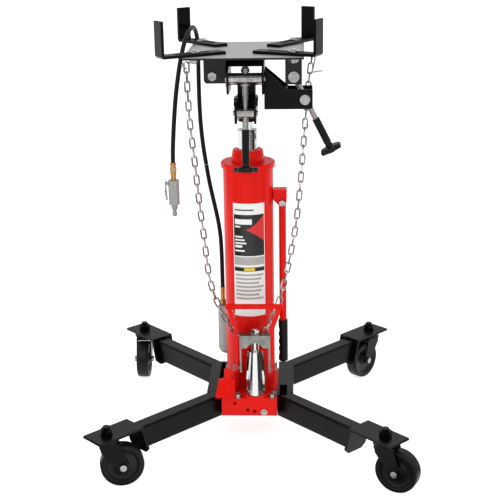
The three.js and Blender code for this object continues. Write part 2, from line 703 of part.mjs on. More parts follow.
// Inverted U that hangs over the pump barrel; its link pins reach through the pedal's plates
function plungerBracket() {
  const half = BRACKET_HALF_WIDTH;
  const [front, back] = [-107, -83];
  const foot = 186;
  const wall = 4;
  let solid = block([-half, front, BRACKET_TOP - 6], [half, back, BRACKET_TOP]);
  for (const x of [-half, half - wall]) {
    solid = join(solid, block([x, front, foot], [x + wall, back, BRACKET_TOP]));
  }
  const apron = new THREE.Shape();
  apron.moveTo(-half, BRACKET_TOP);
  apron.lineTo(-half, 249);
  apron.lineTo(-20, 249);
  apron.absarc(0, 240, 22, Math.PI * 0.86, Math.PI * 0.14, true);
  apron.lineTo(half, 249);
  apron.lineTo(half, BRACKET_TOP);
  solid = join(solid, plate('xz', apron, front, front + 4));
  for (const direction of [-1, 1]) {
    const [from, to] = [direction * (half - 1), direction * 52].sort((p, q) => p - q);
    const [headFrom, headTo] = [direction * 48, direction * 53].sort((p, q) => p - q);
    solid = join(solid, bar('x', 5, from, to, [PEDAL_LINK.y, PEDAL_LINK.z], 12));
    solid = join(solid, bar('x', 10, headFrom, headTo, [PEDAL_LINK.y, PEDAL_LINK.z], 12));
  }
  return cut(solid, bar('z', 6 + FIT, 260, 300, [0, PUMP.y]));
}

// Two side plates, flared at the top and joined by the foot bar; x is measured from the pump's axis
function pumpPedal() {
  const side = outline([[-57, 180], [-63, 173], [-104, 184], [-111, 192], [-115, 318], [-99, 318],
    [-88, 214], [-62, 195], [-57, 189]]);
  const holes = [
    bar('x', 6 + RUN, -80, 80, [PEDAL_PIVOT.y, PEDAL_PIVOT.z]),
    bar('x', 8, -80, 80, [PEDAL_LINK.y, PEDAL_LINK.z]),
  ];
  let solid = bar('x', CROSSBAR.radius, -CROSSBAR.halfLength, CROSSBAR.halfLength, [CROSSBAR.y, CROSSBAR.z]);
  for (const direction of [-1, 1]) {
    const xs = [direction * PEDAL_PLATE_INNER, direction * PEDAL_PLATE_OUTER].sort((p, q) => p - q);
    const [barFar, barNear] = [CROSSBAR.halfLength - 3, CROSSBAR.halfLength - 15];
    const flare = outline([
      [direction * PEDAL_PLATE_INNER, 306], [direction * PEDAL_PLATE_OUTER, 300],
      [direction * barFar, CROSSBAR.z - 2], [direction * barNear, CROSSBAR.z - 2],
    ]);
    solid = join(solid, plate('yz', side, xs[0], xs[1]), plate('xz', flare, -115, -100));
  }
  return cut(solid, ...holes);
}

// ---------- release pedal ----------

function releasePedal() {
  const { x, y, z } = RELEASE_PIN;
  const profile = outline([
    [y - 24, 127], [y - 19, 126], [y - 6, 170], [y - 3, 196], [y - 8, 196], [y - 11, 171],
  ]);
  const face = outline([
    [-84, 120], [-33, 120], [-35, 171], [-44, 173], [-44, 198], [-61, 198], [-61, 173], [-74, 171],
  ]);
  let solid = plate('yz', profile, -90, -30).intersect(plate('xz', face, y - 40, y + 10));
  for (const from of [x - 9.5, x + 5.5]) {
    const ear = outline([[y - 20, z - 5], [y + 5, z - 5], [y + 5, z + 6], [y - 16, z + 14]]);
    solid = join(solid, plate('yz', ear, from, from + 4));
  }
  return cut(solid, bar('x', 4 + FIT, x - 20, x + 20, [y, z], 12));
}

function releasePedalPin() {
  const { x, y, z } = RELEASE_PIN;
  const shank = bar('x', 4, x - 12, x + 12, [y, z], 12);
  return join(shank, bar('x', 6, x - 13, x - 9.8, [y, z], 12), bar('x', 6, x + 9.8, x + 13, [y, z], 12));
}

// ---------- side handle ----------

function handleBracket() {
  const back = TUBE_RADIUS + FIT;
  const shape = outline([[back, 622], [93, 622], [93, 592], [86, 580], [76, 580], [back, 596]]);
  let solid = block([back, -14, 596], [back + 3.7, 14, 622]);
  solid = join(solid, block([back, -14, 618], [93, 14, 622]));
  for (const y of [-14, 11]) solid = join(solid, plate('xz', shape, y, y + 3));
  return cut(solid, bar('y', 5 + FIT, -30, 30, [HANDLE_X, HANDLE_PIVOT_Z], 16));
}

function handleTube() {
  const tube = bar('z', HANDLE_RADIUS, HANDLE_GRIP_BOTTOM + 4, HANDLE_PIVOT_Z + 12, [HANDLE_X, 0]);
  return cut(tube, bar('y', 5 + RUN, -30, 30, [HANDLE_X, HANDLE_PIVOT_Z], 16));
}

function handleGrip() {
  const bore = HANDLE_RADIUS + FIT;
  const bottom = HANDLE_GRIP_BOTTOM;
  const sleeve = turned([
    [0, bottom], [10, bottom], [12, bottom + 3], [12, HANDLE_GRIP_TOP - 2], [11, HANDLE_GRIP_TOP],
    [bore, HANDLE_GRIP_TOP], [bore, bottom + 3.5], [0, bottom + 3.5],
  ], 24);
  return sleeve.translate([HANDLE_X, 0, 0]);
}

function handleBolt() {
  const centre = [HANDLE_X, HANDLE_PIVOT_Z];
  const shank = bar('y', 5, -20, 20, centre, 16);
  return join(shank, hexagon('y', 14, -20, -14 - FIT, centre), hexagon('y', 14, 14 + FIT, 20, centre));
}

// ---------- air motor, hose and valve ----------

function airMotor() {
  const body = turned([
    [0, MOTOR.bottom], [MOTOR.radius - 6, MOTOR.bottom], [MOTOR.radius, MOTOR.bottom + 7],
    [MOTOR.radius, MOTOR.top - 4], [MOTOR.radius - 4, MOTOR.top], [0, MOTOR.top],
  ]).translate([MOTOR.x, MOTOR.y, 0]);
  return join(body, bar('z', 9, BLOCK_TOP + FIT, MOTOR.bottom + 2, [-50, 64], 20));
}

function motorFitting() {
  const { x, y, top } = MOTOR_FITTING;
  const foot = MOTOR.top + FIT;
  return join(bar('z', 6.5, foot, top, [x, y], 20), hexagon('z', 15, foot, foot + 12, [x, y]));
}

// Ferrule, cast body and plug nipple of the hand valve on the hose's end
function airValve() {
  const { x, y, top, bottom } = VALVE;
  const ferrule = join(bar('z', 6.8, top - 2, 684, [x, y], 12), hexagon('z', 14, 662, 672, [x, y]));
  const body = plate('xy', roundedRectangle(26, 22, 7), bottom, top, 2).translate([x, y, 0]);
  const nipple = turned([[0, 551], [5, 551], [6.5, 556], [5, 561], [5, 567], [8, 569], [8, bottom + 2],
    [0, bottom + 2]], 12).translate([x, y, 0]);
  const hinge = bar('y', 3, y - 10, y + 10, [x - 15, top - 8], 10);
  const bridge = block([x - 15, y - 10, top - 11], [x - 12, y + 10, top - 5]);
  return join(ferrule, body, nipple, hinge, bridge);
}

function valveLever() {
  const { x, y, top } = VALVE;
  const blade = outline([[x - 21, top - 3], [x - 18.6, top - 3], [x - 18.6, top - 24], [x - 16.6, top - 50],
    [x - 18.6, top - 50], [x - 23, top - 26], [x - 21, top - 20]]);
  return plate('xz', blade, y - 8, y + 8);
}

// ---------- put together ----------

place(jack, 'base_block', baseBlock(), RED);
place(jack, 'left_leg_frame', legFrame(-1), BLACK);
place(jack, 'right_leg_frame', legFrame(1), BLACK);

for (const { name, side, end, swivel } of CASTERS) {
  const caster = groupAt(side * STUD_X, end * STUD_Y, 0, radians(swivel));
  place(caster, `caster_fork_${name}`, casterFork(), BLACK);
  place(caster, `caster_axle_${name}`, casterAxle(), ZINC);
  const wheel = place(caster, `caster_wheel_${name}`, casterWheel(), RUBBER);
  wheel.position.set(CASTER_TRAIL, 0, WHEEL_RADIUS);
  wheel.rotation.x = -Math.PI / 2;
}

place(jack, 'reservoir_tube', reservoirTube(), RED);
place(jack, 'cylinder_barrel', cylinderBarrel(), ZINC);
place(jack, 'top_cap', topCap(), RED);
place(jack, 'gland_nut', glandNut(), RED);
place(jack, 'outer_ram', outerRam(), CHROME);
place(jack, 'inner_ram', innerRam(), CHROME);

place(jack, 'ram_head', ramHead(), BLACK);
place(jack, 'tilt_pin', tiltPin(), ZINC);
place(jack, 'tilt_frame', tiltFrame(), BLACK);

// The tilt screw leans from its upper trunnion toward the lower one
const tiltScrewGroup = groupAt(0, TILT_UPPER.y, TILT_UPPER.z);
tiltScrewGroup.rotation.x = -Math.atan2(TILT_UPPER.y - TILT_LOWER.y, TILT_UPPER.z - TILT_LOWER.z);
const tiltHole = SCREW_RADIUS + RUN;
place(tiltScrewGroup, 'tilt_trunnion', trunnion('x', 12.5, FRAME_INNER - FIT, 9, 46, tiltHole), ZINC);
place(tiltScrewGroup, 'tilt_screw', tiltScrew(TILT_SCREW_LENGTH), ZINC);
place(tiltScrewGroup, 'tilt_knob', starKnob(TILT_SCREW_LENGTH, 88), RUBBER);
const tiltNutBody = trunnion('x', 11.5, HEAD_HALF_WIDTH - 1.4, 6, 29, SCREW_RADIUS + 2.6);
const tiltNut = place(jack, 'tilt_nut', tiltNutBody, ZINC);
tiltNut.position.set(0, TILT_LOWER.y, TILT_LOWER.z);
tiltNut.rotation.x = tiltScrewGroup.rotation.x;

place(jack, 'saddle_plate', saddlePlate(), BLACK);
place(jack, 'side_pivot_bolt', sidePivotBolt(), ZINC);

// The side screw leans outward the same way
const sideScrewGroup = groupAt(SIDE_UPPER.x, 0, SIDE_UPPER.z);
sideScrewGroup.rotation.y = -Math.atan2(SIDE_LOWER.x - SIDE_UPPER.x, SIDE_UPPER.z - SIDE_LOWER.z);
place(sideScrewGroup, 'side_trunnion', trunnion('y', 13, 19.4, 13, 27, tiltHole), ZINC);
place(sideScrewGroup, 'side_screw', tiltScrew(SIDE_SCREW_LENGTH), ZINC);
place(sideScrewGroup, 'side_knob', starKnob(SIDE_SCREW_LENGTH, 78), RUBBER);
const sideNut = place(jack, 'side_nut', trunnion('y', 12, 27.4, 12, 34, SCREW_RADIUS + 3), ZINC);
sideNut.position.set(SIDE_LOWER.x, 0, SIDE_LOWER.z);
sideNut.rotation.y = sideScrewGroup.rotation.y;

for (const { name, side, end, angle, reach } of ARMS) {
  const heading = Math.atan2(end * Math.sin(radians(angle)), side * Math.cos(radians(angle)));
  const arm = groupAt(side * ARM_BOLT_X, end * ARM_BOLT_Y, SADDLE_TOP, heading);
  place(arm, `arm_bolt_${name}`, armBolt(), ZINC);
  place(arm, `saddle_arm_${name}`, saddleArm(reach), BLACK).position.z = FIT;
}

place(jack, 'pump_barrel', pumpBarrel(), CHROME).position.set(PUMP.x, PUMP.y, 0);
place(jack, 'pump_plunger', pumpPlunger(), CHROME).position.set(PUMP.x, PUMP.y, 0);
place(jack, 'plunger_bracket', plungerBracket(), ZINC).position.x = PUMP.x;
place(jack, 'pump_pedal', pumpPedal(), RED).position.x = PUMP.x;
place(jack, 'release_pedal', releasePedal(), RED);
place(jack, 'release_pedal_pin', releasePedalPin(), ZINC);

place(jack, 'handle_bracket', handleBracket(), RED);
place(jack, 'side_handle', handleTube(), RED);
place(jack, 'handle_grip', handleGrip(), RUBBER);
place(jack, 'handle_bolt', handleBolt(), ZINC);

place(jack, 'air_motor', airMotor(), CASTING);
place(jack, 'motor_fitting', motorFitting(), BRASS);
place(jack, 'air_hose_lower', cable(HOSE_LOWER, HOSE_RADIUS, 12, 8), RUBBER);
place(jack, 'air_hose_upper', cable(HOSE_UPPER, HOSE_RADIUS, 28, 8), RUBBER);
place(jack, 'air_valve', airValve(), CASTING);
place(jack, 'valve_lever', valveLever(), CASTING);
place(jack, 'safety_chain', cable(CHAIN, CHAIN_RADIUS, 44, 6), ZINC);

export default jack;
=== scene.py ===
"""Looks of the two-stage transmission jack: camera, light, materials, and pieces that CAD leaves plain.

Metres, +Z up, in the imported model's frame. Lengths given in millimetres go through mm() or at(); the
column's axis stands at x = COLUMN_X, and at() measures from it, as the CAD source does.
"""

import math

import bmesh
import bpy
from mathutils import Matrix, Vector


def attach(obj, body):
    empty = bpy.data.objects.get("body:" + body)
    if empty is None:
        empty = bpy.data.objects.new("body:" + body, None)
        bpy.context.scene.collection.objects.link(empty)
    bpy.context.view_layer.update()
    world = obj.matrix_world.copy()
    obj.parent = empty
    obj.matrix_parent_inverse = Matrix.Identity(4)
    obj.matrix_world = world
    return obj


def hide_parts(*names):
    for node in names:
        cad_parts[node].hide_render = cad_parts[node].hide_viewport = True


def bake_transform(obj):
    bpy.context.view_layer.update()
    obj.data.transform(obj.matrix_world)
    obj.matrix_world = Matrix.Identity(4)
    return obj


# ---------- dimensions, millimetres from the column's axis and the floor ----------

COLUMN_X = -14
TUBE_RADIUS = 60.7
TUBE_TOP = 677.7
BLOCK_TOP = 122
WHEEL_RADIUS = 50.8
CASTER_TRAIL = 32
# The casters' studs stand at these distances to the side and to the front or rear
STUD = (317, 330)
# Each caster's side, its end, and the direction in degrees in which its wheel trails
CASTERS = {
    "front_left": (-1, -1, 15),
    "front_right": (1, -1, -26),
    "rear_left": (-1, 1, -90),
    "rear_right": (1, 1, -129),
}
# The two tilt screws, each from its upper trunnion down through its lower nut to its knob
SCREW_RADIUS = 7
TILT_UPPER = (0, -62, 898)
TILT_LOWER = (0, -77.3, 820)
TILT_SCREW_LENGTH = 206
TILT_GRIP_LENGTH = 88
SIDE_UPPER = (111, 0, 894)
SIDE_LOWER = (137, 0, 842)
SIDE_SCREW_LENGTH = 192
SIDE_GRIP_LENGTH = 78
SLEEVE_RADIUS = 9.2
KNOB_RADIUS = 29
KNOB_LOBES = 6
KNOB_WAVE = 2.8333
HANDLE_X = 82
HANDLE_RADIUS = 9
GRIP_BOTTOM = 173
GRIP_TOP = 284
MOTOR = (-57, 82)
MOTOR_PIPE = (-50, 64)
MOTOR_BOTTOM = 166
MOTOR_TOP = 293
MOTOR_RADIUS = 30
SADDLE_TOP = 956
VALVE = (-182, 10)
HOSE_RADIUS = 5.5
HOSE_STEP = 8
LINK_PITCH = 22
LINK_WIRE = 2.2
LINK_HALF_WIDTH = 5.7
LINK_HALF_LENGTH = 13

# Label on the column's front: u runs round the tube from its front, positive to the right
LABEL_LEFT = -37
LABEL_RIGHT = 43
LABEL_TOP = 599.5
LABEL_BOTTOM = 314.5
LABEL_BORDER = 2
PANEL_BOTTOM = 469
PANEL_TOP = 572
TONGUE_LEFT = -6.6
TONGUE_HEIGHT = 535

# The saddle's top is painted a paler grey than its sides, a painted reflection of the bright room on the
# glossy plate: height in metres, and colour
SADDLE_TOP_PAINTED_REFLECTION = (0.9555, (0.34, 0.34, 0.33))

# Light: strength of the room's walls and ceiling, and of the floor's own glow
WALL_LIGHT = 0.15
CEILING_LIGHT = 0.85
FLOOR_GLOW = 0.78
# Dark wedges of floor that only reflections show: their edges, in degrees round the column from straight
# in front, and where they start, end and lie, in metres
DARK_WEDGES = ((-66, -36), (30, 44), (60, 84))
WEDGE_START = 0.25
WEDGE_END = 9
WEDGE_LIFT = 0.002
# The floor reaches this many metres each way
FLOOR_REACH = 60
# Lamps: place, target and size in metres, and power in watts
LAMPS = {
    "key": ((-1.4, -1.8, 2.6), (0, 0, 0.5), (1.6, 1.6), 22),
    "fill": ((1.8, -1.2, 1.8), (0, 0, 0.5), (1.4, 1.8), 6),
    "back": ((0.2, 2.2, 2.4), (0, 0, 0.7), (2.4, 1.2), 10),
}

# Camera: place in metres, turn, tilt and roll in degrees, lens and sensor in millimetres
CAMERA_PLACE = (0.11491, -2.63841, 1.28951)
CAMERA_TURN = 2.76
CAMERA_TILT = 17.32
CAMERA_ROLL = -0.9
CAMERA_LENS = 80.95
CAMERA_SENSOR = 36

# Sockets of Blender's Mix node that carry colours
MIX_FIRST = 6
MIX_SECOND = 7
MIX_RESULT = 2

# ---------- routes of the hose and the chain, metres ----------

HOSE_LOWER = [
    (-0.088, 0.085, 0.3415), (-0.0882, 0.086, 0.37), (-0.089, 0.091, 0.42), (-0.0915, 0.099, 0.47),
    (-0.098, 0.107, 0.515), (-0.108, 0.116, 0.56), (-0.118, 0.125, 0.605), (-0.126, 0.134, 0.65),
]
HOSE_UPPER = [
    (-0.126, 0.134, 0.6505), (-0.133, 0.143, 0.695), (-0.1385, 0.153, 0.745), (-0.1415, 0.163, 0.795),
    (-0.143, 0.174, 0.845), (-0.1435, 0.184, 0.895), (-0.144, 0.189, 0.935), (-0.1455, 0.186, 0.965),
    (-0.1485, 0.17, 0.985), (-0.1525, 0.148, 0.992), (-0.157, 0.122, 0.989), (-0.162, 0.096, 0.977),
    (-0.1675, 0.072, 0.957), (-0.174, 0.052, 0.925), (-0.181, 0.038, 0.88), (-0.187, 0.027, 0.83),
    (-0.192, 0.018, 0.77), (-0.195, 0.012, 0.72), (-0.196, 0.01, 0.6845),
]
CHAIN = [
    (-0.149, -0.06, 0.934), (-0.148, -0.061, 0.87), (-0.144, -0.063, 0.79), (-0.135, -0.066, 0.695),
    (-0.127, -0.069, 0.6), (-0.118, -0.071, 0.515), (-0.109, -0.073, 0.425), (-0.098, -0.074, 0.378),
    (-0.084, -0.0745, 0.342), (-0.066, -0.0745, 0.305), (-0.047, -0.0745, 0.277), (-0.024, -0.0745, 0.259),
    (-0.006, -0.0745, 0.256), (0.012, -0.0745, 0.264), (0.03, -0.0745, 0.29), (0.046, -0.0745, 0.32),
    (0.061, -0.073, 0.362), (0.079, -0.069, 0.432), (0.092, -0.06, 0.495), (0.102, -0.049, 0.55),
    (0.111, -0.03, 0.63), (0.118, 0.008, 0.71), (0.124, 0.04, 0.78), (0.129, 0.05, 0.84),
    (0.135, 0.052, 0.895), (0.141, 0.052, 0.94),
]

# ---------- units and frames ----------


def mm(length):
    return length / 1000


def at(x, y, z):
    """A point given from the column's axis, in metres in the model's frame."""
    return Vector((mm(x + COLUMN_X), mm(y), mm(z)))


def frame_matrix(origin, along, across):
    """A frame at origin whose Z is along, and whose X lies as near as possible to across."""
    z = along.normalized()
    x = (across - across.dot(z) * z).normalized()
    y = z.cross(x)
    return Matrix.Translation(origin) @ Matrix((x, y, z)).transposed().to_4x4()


def smooth_route(points, step):
    """Points a step apart along the smooth curve through the given ones."""
    substeps = 24
    knots = [Vector(p) for p in points]
    knots = [2 * knots[0] - knots[1], *knots, 2 * knots[-1] - knots[-2]]
    dense = []
    for i in range(1, len(knots) - 2):
        before, start, end, after = knots[i - 1 : i + 3]
        for k in range(substeps):
            t = k / substeps
            dense.append(
                0.5
                * (
                    2 * start
                    + (end - before) * t
                    + (2 * before - 5 * start + 4 * end - after) * t**2
                    + (3 * start - before - 3 * end + after) * t**3
                )
            )
    dense.append(knots[-2])
    even = [dense[0]]
    travelled = 0.0
    for start, end in zip(dense, dense[1:]):
        span = (end - start).length
        while travelled + span >= step:
            start = start.lerp(end, (step - travelled) / span)
            even.append(start)
            span = (end - start).length
            travelled = 0.0
        travelled += span
    if (even[-1] - dense[-1]).length > step / 3:
        even.append(dense[-1])
    else:
        even[-1] = dense[-1]
    return even


# ---------- materials ----------


def surface(
    name, colour, roughness, metallic=0.0, gloss=0.5, grain=600, bump=0.04, mottle=0.05, threads=0.0,
    top=None, patches=14,
):
    """A finish with fine grain in its bump, and a slow variation of its colour and roughness.

    threads is the scale of a screw's grooves, and top is a height and the painted reflection colour that
    starts there.
    """
    material = bpy.data.materials.new(name)
    material.use_nodes = True
    nodes = material.node_tree.nodes
    links = material.node_tree.links
    shader = nodes["Principled BSDF"]
    shader.inputs["Metallic"].default_value = metallic
    shader.inputs["Specular IOR Level"].default_value = gloss
    place = nodes.new("ShaderNodeTexCoord")

    slow = nodes.new("ShaderNodeTexNoise")
    slow.inputs["Scale"].default_value = patches
    slow.inputs["Detail"].default_value = 5
    links.new(place.outputs["Object"], slow.inputs["Vector"])
    ramp = nodes.new("ShaderNodeValToRGB")
    ramp.color_ramp.elements[0].position = 0.3
    ramp.color_ramp.elements[1].position = 0.7
    ramp.color_ramp.elements[0].color = (*[c * (1 - mottle) for c in colour], 1)
    ramp.color_ramp.elements[1].color = (*[min(1, c * (1 + mottle)) for c in colour], 1)
    links.new(slow.outputs["Fac"], ramp.inputs["Fac"])
    links.new(ramp.outputs["Color"], shader.inputs["Base Color"])

    fine = nodes.new("ShaderNodeTexNoise")
    fine.inputs["Scale"].default_value = grain
    fine.inputs["Detail"].default_value = 3
    links.new(place.outputs["Object"], fine.inputs["Vector"])
    spread = nodes.new("ShaderNodeMapRange")
    spread.inputs["To Min"].default_value = roughness * 0.85
    spread.inputs["To Max"].default_value = min(1, roughness * 1.15)
    links.new(slow.outputs["Fac"], spread.inputs["Value"])
    links.new(spread.outputs["Result"], shader.inputs["Roughness"])
    relief = nodes.new("ShaderNodeBump")
    relief.inputs["Strength"].default_value = bump
    relief.inputs["Distance"].default_value = 0.001
    links.new(fine.outputs["Fac"], relief.inputs["Height"])
    links.new(relief.outputs["Normal"], shader.inputs["Normal"])
    # From the given height up, the colour is swapped for a paler one: painted reflection on the saddle's
    # top
    if top:
        height, painted_top_colour = top
        parts = nodes.new("ShaderNodeSeparateXYZ")
        links.new(place.outputs["Object"], parts.inputs["Vector"])
        above = nodes.new("ShaderNodeMath")
        above.operation = "GREATER_THAN"
        above.inputs[1].default_value = height
        links.new(parts.outputs["Z"], above.inputs[0])
        mix = nodes.new("ShaderNodeMix")
        mix.data_type = "RGBA"
        links.new(above.outputs[0], mix.inputs["Factor"])
        links.new(ramp.outputs["Color"], mix.inputs[MIX_FIRST])
        mix.inputs[MIX_SECOND].default_value = (*painted_top_colour, 1)
        links.new(mix.outputs[MIX_RESULT], shader.inputs["Base Color"])
    if threads:
        wave = nodes.new("ShaderNodeTexWave")
        wave.bands_direction = "Z"
        wave.inputs["Scale"].default_value = threads
        links.new(place.outputs["Object"], wave.inputs["Vector"])
        groove = nodes.new("ShaderNodeBump")
        groove.inputs["Strength"].default_value = 0.9
        groove.inputs["Distance"].default_value = 0.0008
        links.new(wave.outputs["Fac"], groove.inputs["Height"])
        links.new(relief.outputs["Normal"], groove.inputs["Normal"])
        links.new(groove.outputs["Normal"], shader.inputs["Normal"])
    return material


def metal(name, colour, roughness, **look):
    return surface(name, colour, roughness, metallic=1, **look)


def dull_black(name, roughness, **look):
    return surface(name, (0.004, 0.004, 0.004), roughness, **look)


def ink(name, colour, mottle=0.03):
    return surface(name, colour, 0.4, grain=200, bump=0.01, mottle=mottle)


def studio_surface(name, shade, mottle):
    return surface(name, (shade, shade, shade), 0.9, gloss=0.0, grain=40, bump=0.0, mottle=mottle)


def make_materials():
    coat = (0.0015, 0.0015, 0.0016)
    return {
        "red": surface("red_enamel", (0.7, 0.006, 0.003), 0.28, gloss=0.12, grain=260),
        "black": surface("black_powder_coat", coat, 0.3, gloss=0.12, grain=700, bump=0.1),
        # The saddle plate's paler top colour is a painted reflection of the bright room
        "plate": dull_black("saddle_enamel", 0.32, gloss=0.3, grain=500, top=SADDLE_TOP_PAINTED_REFLECTION),
        "chrome": metal("hard_chrome", (0.66, 0.67, 0.66), 0.14, grain=900, bump=0.01, mottle=0.03),
        "zinc": metal("zinc_plate", (0.34, 0.34, 0.33), 0.26, mottle=0.4, patches=70),
        "bracket": metal("dull_zinc", (0.22, 0.23, 0.21), 0.34, mottle=0.3, patches=50),
        "chain": metal("zinc_chain", (0.45, 0.45, 0.44), 0.24, grain=500, bump=0.05, mottle=0.2),
        "thread": metal("zinc_thread", (0.42, 0.42, 0.4), 0.32, mottle=0.1, threads=100),
        "brass": metal("brass", (0.5, 0.3, 0.1), 0.3, grain=500, mottle=0.12),
        "cast": surface(
            "blasted_casting", (0.33, 0.33, 0.32), 0.5, metallic=0.35, grain=420, bump=0.2, mottle=0.08
        ),
        "rubber": dull_black("rubber", 0.42, gloss=0.2, grain=350, bump=0.1, mottle=0.15),
        "tread": dull_black("wheel_tread", 0.42, gloss=0.2, grain=300, bump=0.15, mottle=0.2),
        "hub": dull_black("wheel_core", 0.34, gloss=0.25, grain=450, bump=0.08, mottle=0.1),
        "grip": dull_black("vinyl_grip", 0.36, gloss=0.22, grain=300, bump=0.1, mottle=0.1),
        "label_white": ink("label_white", (0.78, 0.78, 0.76), mottle=0.02),
        "label_black": ink("label_black", (0.008, 0.008, 0.008), mottle=0.05),
        "label_red": ink("label_red", (0.62, 0.012, 0.01)),
        "label_grey": ink("label_grey", (0.36, 0.36, 0.35)),
        "label_yellow": ink("label_yellow", (0.75, 0.5, 0.03)),
        "card": studio_surface("studio_card", 0.01, mottle=0.02),
        "floor": studio_surface("studio_floor", 0.6, mottle=0.005),
    }


# ---------- carried-over CAD nodes ----------


def smoothing_group(angle):
    """Smooth shading, except across edges sharper than the angle."""
    group = bpy.data.node_groups.new("smooth_by_angle", "GeometryNodeTree")
    group.interface.new_socket("Geometry", in_out="INPUT", socket_type="NodeSocketGeometry")
    group.interface.new_socket("Geometry", in_out="OUTPUT", socket_type="NodeSocketGeometry")
    start = group.nodes.new("NodeGroupInput")
    end = group.nodes.new("NodeGroupOutput")
    faces = group.nodes.new("GeometryNodeSetShadeSmooth")
    faces.domain = "FACE"
    edges = group.nodes.new("GeometryNodeSetShadeSmooth")
    edges.domain = "EDGE"
    between = group.nodes.new("GeometryNodeInputMeshEdgeAngle")
    compare = group.nodes.new("FunctionNodeCompare")
    compare.data_type = "FLOAT"
    compare.operation = "LESS_THAN"
    compare.inputs["B"].default_value = angle
    group.links.new(between.outputs["Unsigned Angle"], compare.inputs["A"])
    group.links.new(compare.outputs["Result"], edges.inputs["Shade Smooth"])
    group.links.new(start.outputs[0], faces.inputs["Geometry"])
    group.links.new(faces.outputs["Geometry"], edges.inputs["Geometry"])
    group.links.new(edges.outputs["Geometry"], end.inputs[0])
    return group


def dress(piece, material, smoothing, bevel=0.0):
    """Give a piece its finish, rounded edges and smooth shading, by modifiers alone."""
    piece.data.materials.clear()
    piece.data.materials.append(material)
    if bevel:
        rounding = piece.modifiers.new("rounded_edges", "BEVEL")
        rounding.width = mm(bevel)
        rounding.segments = 3
        rounding.limit_method = "ANGLE"
        rounding.angle_limit = math.radians(41)
        rounding.use_clamp_overlap = True
    shading = piece.modifiers.new("smooth_by_angle", "NODES")
    shading.node_group = smoothing


def dress_frame(nodes, materials, smoothing):
    finishes = {
        "base_block": ("red", 2.5),
        "left_leg_frame": ("black", 1.2),
        "right_leg_frame": ("black", 1.2),
        "reservoir_tube": ("red", 0.8),
        "top_cap": ("red", 0.8),
        "gland_nut": ("red", 0.6),
        "outer_ram": ("chrome", 0.6),
        "inner_ram": ("chrome", 0.0),
        "cylinder_barrel": ("zinc", 0.0),
        "ram_head": ("black", 1.0),
        "tilt_pin": ("zinc", 0.8),
        "tilt_frame": ("black", 1.0),
        "tilt_trunnion": ("zinc", 0.8),
        "tilt_nut": ("zinc", 0.8),
        "tilt_screw": ("thread", 0.6),
        "saddle_plate": ("plate", 1.0),
        "side_pivot_bolt": ("zinc", 0.6),
        "side_trunnion": ("zinc", 0.8),
        "side_nut": ("zinc", 0.8),
        "side_screw": ("thread", 0.6),
        "pump_barrel": ("chrome", 1.0),
        "pump_plunger": ("chrome", 0.6),
        "plunger_bracket": ("bracket", 0.8),
        "pump_pedal": ("red", 0.8),
        "release_pedal": ("red", 0.8),
        "release_pedal_pin": ("zinc", 0.4),
        "handle_bracket": ("red", 0.6),
        "side_handle": ("red", 0.6),
        "handle_bolt": ("zinc", 0.6),
        "motor_fitting": ("brass", 0.6),
        "air_valve": ("cast", 0.8),
        "valve_lever": ("cast", 0.4),
    }
    for name in CASTERS:
        finishes[f"caster_fork_{name}"] = ("black", 1.0)
        finishes[f"caster_axle_{name}"] = ("zinc", 0.6)
        finishes[f"arm_bolt_{name}"] = ("zinc", 0.4)
        finishes[f"saddle_arm_{name}"] = ("black", 1.2)
    for name, (finish, bevel) in finishes.items():
        dress(nodes[name], materials[finish], smoothing, bevel)


# ---------- new pieces ----------


def piece_from(mesh_data, name, materials, smoothing, body, matrix=None):
    """A new piece from a bmesh, placed, finished and riding on its body."""
    mesh = bpy.data.meshes.new(name)
    bmesh.ops.recalc_face_normals(mesh_data, faces=mesh_data.faces)
    if matrix is not None:
        mesh_data.transform(matrix)
    mesh_data.to_mesh(mesh)
    mesh_data.free()
    for material in materials:
        mesh.materials.append(material)
    piece = bpy.data.objects.new(name, mesh)
    bpy.context.scene.collection.objects.link(piece)
    shading = piece.modifiers.new("smooth_by_angle", "NODES")
    shading.node_group = smoothing
    if body:
        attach(piece, body)
    return piece


def place_into(mesh_data, form, matrix):
    """Move a small form into place and join it to the mesh."""
    form.transform(matrix)
    copy = bpy.data.meshes.new("form")
    form.to_mesh(copy)
    form.free()
    mesh_data.from_mesh(copy)
    bpy.data.meshes.remove(copy)


def mirrored(profile):
    """The profile's other half, from its far end back."""
    return [(radius, -z) for radius, z in reversed(profile)]


def turned(mesh_data, profile, segments=48, radius_at=None, index=0):
    """Add a turned form about Z: [radius, z] points in mm, closed where the radius is 0."""
    rings = []
    for radius, z in profile:
        if radius == 0:
            rings.append([mesh_data.verts.new((0, 0, mm(z)))])
            continue
        ring = []
        for i in range(segments):
            turn = 2 * math.pi * i / segments
            r = mm(radius_at(radius, turn, z) if radius_at else radius)
            ring.append(mesh_data.verts.new((r * math.cos(turn), r * math.sin(turn), mm(z))))
        rings.append(ring)
    for low, high in zip(rings, rings[1:]):
        for i in range(segments):
            j = (i + 1) % segments
            if len(low) == 1 and len(high) == 1:
                continue
            if len(low) == 1:
                corners = [low[0], high[i], high[j]]
            elif len(high) == 1:
                corners = [low[i], low[j], high[0]]
            else:
                corners = [low[i], low[j], high[j], high[i]]
            mesh_data.faces.new(corners).material_index = index


